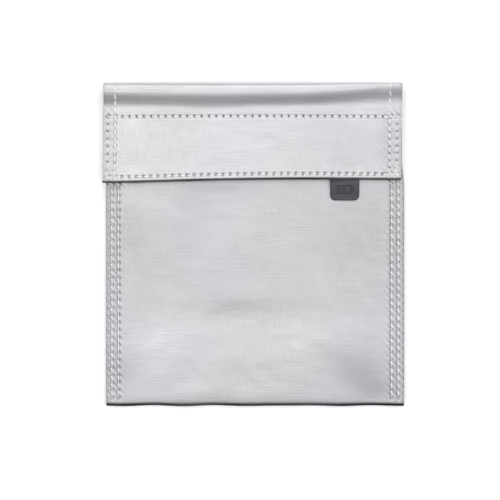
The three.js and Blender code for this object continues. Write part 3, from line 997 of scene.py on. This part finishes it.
rows = np.append(np.arange(FRONT_ROW + 1, END_ROW - 1, 2), END_ROW - 1)
pouch_lining, pouch_lining_size = lining("pouch_lining_sheet", pouch, POUCH_SIDES, LOW_ROW - 5, rows, 2)
rows = np.append(np.arange(0, EDGE_ROW - 2, 2), EDGE_ROW - 2)
flap_lining, flap_lining_size = lining("flap_lining_sheet", flap, FLAP_SIDES, FLAT_ROW, rows, 3)

# ==== Hook-and-loop tape ====
TAPE_BASE, PILE = 0.45, 0.95  # thickness of the tape's band and height of its hooks or loops
HOOK_BAND = -1.55  # the hook band's upper face, from the flap's face
HOOK_FACE = HOOK_BAND - TAPE_BASE
LOOP_FACE = 0.5  # the loop band's upper face, from the pouch's face
SELVAGE = 0.9
FLAP_GRID = (flap, FLAT_ROW, FLAT_Y)
FRONT_GRID = (pouch, FRONT_ROW, FRONT_Y)


def spots(grid, xs, ys):
    """Grid places of points given by x and y, on a part of a strip whose rows are straight lines."""
    strip, first_row, lines = grid
    row = first_row + np.interp(-ys, -lines, np.arange(len(lines)))
    shown = strip.base[first_row, SIDE_COLUMNS:-SIDE_COLUMNS, X]
    return row, SIDE_COLUMNS + np.interp(xs, shown, np.arange(len(shown)))


def tape_base(name, grid, outline, offset, material):
    """The woven band of a tape, following the strip, and its size."""
    low, high = box_mm(outline)
    xs = np.array([low[X] - SELVAGE, high[X] + SELVAGE])
    ys = np.array([high[Y] + SELVAGE, low[Y] - SELVAGE])
    rows, cols = (np.arange(int(round(ends[0])), int(round(ends[1])) + 1, 2) for ends in spots(grid, xs, ys))
    layer = Layer(grid[0], rows, cols, offset)
    return shell(name, layer, TAPE_BASE, material), layer.size()


def left_or_right(count):
    return rng.choice([0.0, math.pi], count)


def any_way(count):
    return rng.uniform(0, math.tau, count)


HOOK_SHAPE = np.array([0, 0, 0.05, 0.28, 0.42]), np.array([-0.05, 0.5, 0.85, 0.93, 0.68])
LOOP_TURN = np.linspace(-0.15, math.pi + 0.15, 6)
LOOP_SHAPE = -0.42 * np.cos(LOOP_TURN), 0.85 * np.sin(LOOP_TURN)


def nap(name, grid, node, pitch, scatter, offset, face, headings, shape, width, material):
    """Hooks or loops, as thin bent tubes on a tape: a pitch apart, and moved at random by a share of it.
    shape gives how far along its heading and how high each point of a tube is."""
    low, high = box_mm(node)
    margin = 0.8
    xs, ys = (np.arange(low[axis] + margin, high[axis] - margin, pitch[axis]) for axis in (X, Y))
    gx, gy = (places.ravel() for places in np.meshgrid(xs, ys))
    gx = gx + rng.uniform(-1, 1, gx.size) * scatter * pitch[X]
    gy = gy + rng.uniform(-1, 1, gy.size) * scatter * pitch[Y]
    row, col = spots(grid, gx, gy)
    out = at(grid[0].base_normals, row, col)
    foot, up = at(grid[0].base, row, col) + out * offset, out * face
    heading = headings(len(foot))
    lean = np.stack([np.cos(heading), np.sin(heading), 0 * heading], axis=-1)
    away, rise = shape
    size = rng.uniform(0.85, 1.1, (len(foot), 1, 1)) * PILE
    centre = foot[:, None] + size * (lean[:, None] * away[:, None] + up[:, None] * rise[:, None])
    return tubes(name, centre, np.cross(lean, up)[:, None], width, material, sides=4)


def outline_rows(grid, node, pitch, **more):
    """Stitch paths round a rectangle, from the box of the node that stands for the thread."""
    low, high = box_mm(node)
    low, high = low + THREAD_HALF, high - THREAD_HALF
    nx, ny = round((high[X] - low[X]) / pitch), round((high[Y] - low[Y]) / pitch)
    xs, ys = np.linspace(low[X], high[X], nx + 1), np.linspace(high[Y], low[Y], ny + 1)
    paths = [stitch_row(grid[0], *spots(grid, xs, y), **more) for y in (low[Y], high[Y])]
    paths += [stitch_row(grid[0], *spots(grid, x, ys), **more) for x in (low[X], high[X])]
    return paths


hook_base, hook_size = tape_base("hook_tape_band", FLAP_GRID, "hook_tape_thread", HOOK_BAND, HOOKS)
hooks = nap("hook_tape_hooks", FLAP_GRID, "hook_tape", (2.0, 1.6), 0.05, HOOK_FACE, -1,
            left_or_right, HOOK_SHAPE, 0.11, HOOKS)
loop_base, loop_size = tape_base("loop_tape_band", FRONT_GRID, "loop_tape_thread", LOOP_FACE, LOOPS)
loops = nap("loop_tape_loops", FRONT_GRID, "loop_tape", (1.7, 1.7), 0.35, LOOP_FACE, 1,
            any_way, LOOP_SHAPE, 0.075, LOOPS)
bobbin_rows = outline_rows(FLAP_GRID, "hook_tape_thread", HOLE_X, offset=HOOK_FACE, face=-1)
tape_bobbin = sew("hook_tape_bobbin_stitches", bobbin_rows, ["hook_tape_bobbin"], radius=0.28)
loop_rows = outline_rows(FRONT_GRID, "loop_tape_thread", PITCH, offset=LOOP_FACE)
loop_stitches = sew("loop_tape_stitches", loop_rows, ["loop_tape_thread"])
mouth_x = np.arange(mouth_low[X], mouth_high[X] + 0.01, PITCH)
mouth_row = stitch_row(pouch, *spots(FRONT_GRID, mouth_x, MOUTH_ROW_Y))
mouth_stitches = sew("mouth_stitches", [mouth_row], ["mouth_thread"])

# ==== Rubber label ====
TAB_HALF, TAB_RADIUS, TAB_END = (tab_high[X] - tab_low[X]) / 2, 3.4, tab_low[Y]
TONGUE_END = 47.3
TAB_THICK, TONGUE_THICK = 1.2, 0.6


def inside_by(x, y, half_x, half_y, radius):
    """How far inside a rounded rectangle about the origin a point lies."""
    dx, dy = np.abs(x) - half_x + radius, np.abs(y) - half_y + radius
    return radius - np.hypot(np.maximum(dx, 0), np.maximum(dy, 0)) - np.minimum(np.maximum(dx, dy), 0)


def battery_mark(x, y):
    """A plain battery about the origin: an outlined cell, its terminal and two bars."""
    line, soft = 0.7, 0.16
    outline = inside_by(x, y, 5.2, 2.9, 0.8) - 0.45
    cell = ease((line / 2 + soft - np.abs(outline)) / soft)
    terminal = ease(inside_by(x - 5.9, y, 0.7, 1.3, 0.3) / 0.2)
    bars = sum(ease(inside_by(x - bar, y, 0.75, 1.4, 0.3) / 0.2) for bar in (-2.9, -0.6))
    return np.clip(cell + terminal + bars, 0, 1)


def label_grid():
    """x and y of the label's points, in rows from the tongue's end to the tab's."""
    tongue = np.linspace(TONGUE_END, EDGE_Y + 1, 8)[:-1]
    bend = np.linspace(EDGE_Y + 1, EDGE_Y - 4, 19)[:-1]
    face = np.linspace(EDGE_Y - 4, TAB_END + 1.5, 24)[:-1]
    end = TAB_END + 1.5 * np.linspace(1, 0, 11) ** 1.6
    ys = np.concatenate([tongue, bend, face, end])
    widest = math.pi / 2 * 0.86
    s = np.sin(np.linspace(-1, 1, 65) * widest) / math.sin(widest)
    to_end = np.clip(TAB_RADIUS - (ys - TAB_END), 0, TAB_RADIUS)
    half = TAB_HALF - TAB_RADIUS + np.sqrt(TAB_RADIUS**2 - to_end**2)
    x = half[:, None] * s
    return x, ys[:, None] + 0 * x


def label():
    x, y = label_grid()
    mid_y = (TAB_END + EDGE_Y + 30) / 2
    depth_in = inside_by(x, y - mid_y, TAB_HALF, mid_y - TAB_END, TAB_RADIUS)
    free = ease((EDGE_Y - 0.3 - y) / 2.5)
    under_hem = flap_plane(TAB_X, EDGE_Y) - 2 * HEM_TURN - 0.15
    rest = front_z(TAB_X, TAB_END) + 0.5
    fall = ease((EDGE_Y - y) / (EDGE_Y - TAB_END) * 0.9)
    bottom = (under_hem - TONGUE_THICK) * (1 - fall) + rest * fall - 0.012 * np.abs(x) * free
    thick = TONGUE_THICK + (TAB_THICK - TONGUE_THICK) * free
    rounding = 0.42 * (1 - np.sqrt(1 - (1 - np.clip(depth_in / 0.45, 0, 1)) ** 2))
    rim = 0.24 * ease((1.25 - depth_in) / 0.4)
    mark = battery_mark(x + 0.3, y - (TAB_END + 6.9)) * (depth_in > 1.3) * free
    top = bottom + thick + (rim - rounding) * free - 0.35 * mark
    low = bottom + rounding * 0.6 * free
    verts = np.concatenate([np.stack([x + TAB_X, y, z], -1).reshape(-1, 3) for z in (top, low)])
    # painted shade along the rounded edge and in the pressed mark
    edge = free * ease((0.9 - depth_in) / 0.5)
    marks = {"pressed": np.append(mark, 0 * mark), "edge": np.append(edge, 0 * edge)}
    return mesh_object("label", verts * MM, closed_faces(*x.shape)[0], RUBBER, marks)


tab = label()
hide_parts("pull_tab", "label_tongue")
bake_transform(tab)

# ==== What the pieces are made of, stand for and ride on ====
for piece, slot, *nodes in (
    (pouch_cloth, "silver_cloth", "front_panel", "bottom_fold", "back_panel", "seam_allowance_left",
     "seam_allowance_right", "mouth_hem"),
    (flap_cloth, "silver_cloth", "flap_cloth", "fold_cloth", "flap_hem_left", "flap_hem_right",
     "flap_hem_bottom_left", "flap_hem_bottom_right"),
    (pouch_lining, "lining_cloth", "lining_front", "lining_back"),
    (flap_lining, "lining_cloth", "flap_lining", "fold_lining"),
    (hook_base, "hook_tape", "hook_tape"),
    (loop_base, "loop_tape", "loop_tape"),
    (hooks, "hook_tape"),
    (loops, "loop_tape"),
):
    if nodes:
        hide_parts(*nodes)
for piece in (pouch_cloth, pouch_lining):
    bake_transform(piece)
for piece in (flap_cloth, flap_lining):
    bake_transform(piece)
for piece in (hook_base, hooks, tape_bobbin):
    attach(piece, "flap")
for piece in (loop_base, loops, loop_stitches, mouth_stitches):
    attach(piece, "pouch")
pouch.size()
flap.size()


# ==== Studio ====
def stage_floor():
    """A round floor whose rim turns up."""
    n = Nodes("floor")
    speck = n.noise(n.in_space(), 6.0)
    n.set(Base_Color=n.colours(speck, (0.96, 0.96, 0.96), (0.98, 0.98, 0.98)), Roughness=0.9)
    around = 96
    bend = np.linspace(0, math.pi / 2, 13)
    radius = np.concatenate([[0.02, 1.2], 2.6 + 0.7 * np.sin(bend)])
    height = np.concatenate([[0, 0], 0.7 * (1 - np.cos(bend))])
    angle = np.arange(around) * math.tau / around
    level = np.outer(height, np.ones(around))
    verts = np.stack([np.outer(radius, np.cos(angle)), np.outer(radius, np.sin(angle)), level], -1)
    index = np.arange(len(radius) * around).reshape(len(radius), around)
    ahead = np.roll(index, -1, axis=1)
    faces = np.stack([index[:-1], index[1:], ahead[1:], ahead[:-1]], -1).reshape(-1, 4).tolist()
    mesh_object("floor", verts.reshape(-1, 3), faces + [index[0].tolist()], n.material, {})


def area_light(name, place, size, power, target=(0, 0, 0)):
    data = bpy.data.lights.new(name, "AREA")
    data.shape = "RECTANGLE"
    data.size, data.size_y = size
    data.energy = power
    light = bpy.data.objects.new(name, data)
    scene.collection.objects.link(light)
    light.location = place
    light.rotation_euler = (Vector(target) - Vector(place)).to_track_quat("-Z", "Y").to_euler()
    light.visible_camera = False


stage_floor()
area_light("key", (0, 0.55, 1.40), (2.6, 2.7), 26, target=(0, 0.55, 0))
area_light("back", (0, 1.6, 1.25), (2.6, 0.8), 11)
area_light("left", (-1.75, -0.1, 1.25), (1.0, 1.4), 12)
area_light("right", (1.75, -0.1, 1.25), (1.0, 1.4), 12)
world = scene.world = bpy.data.worlds.new("studio")
world.use_nodes = True
background = world.node_tree.nodes["Background"].inputs
background["Color"].default_value = (0.94, 0.96, 1, 1)
background["Strength"].default_value = 0.38
scene.view_settings.view_transform = "Standard"
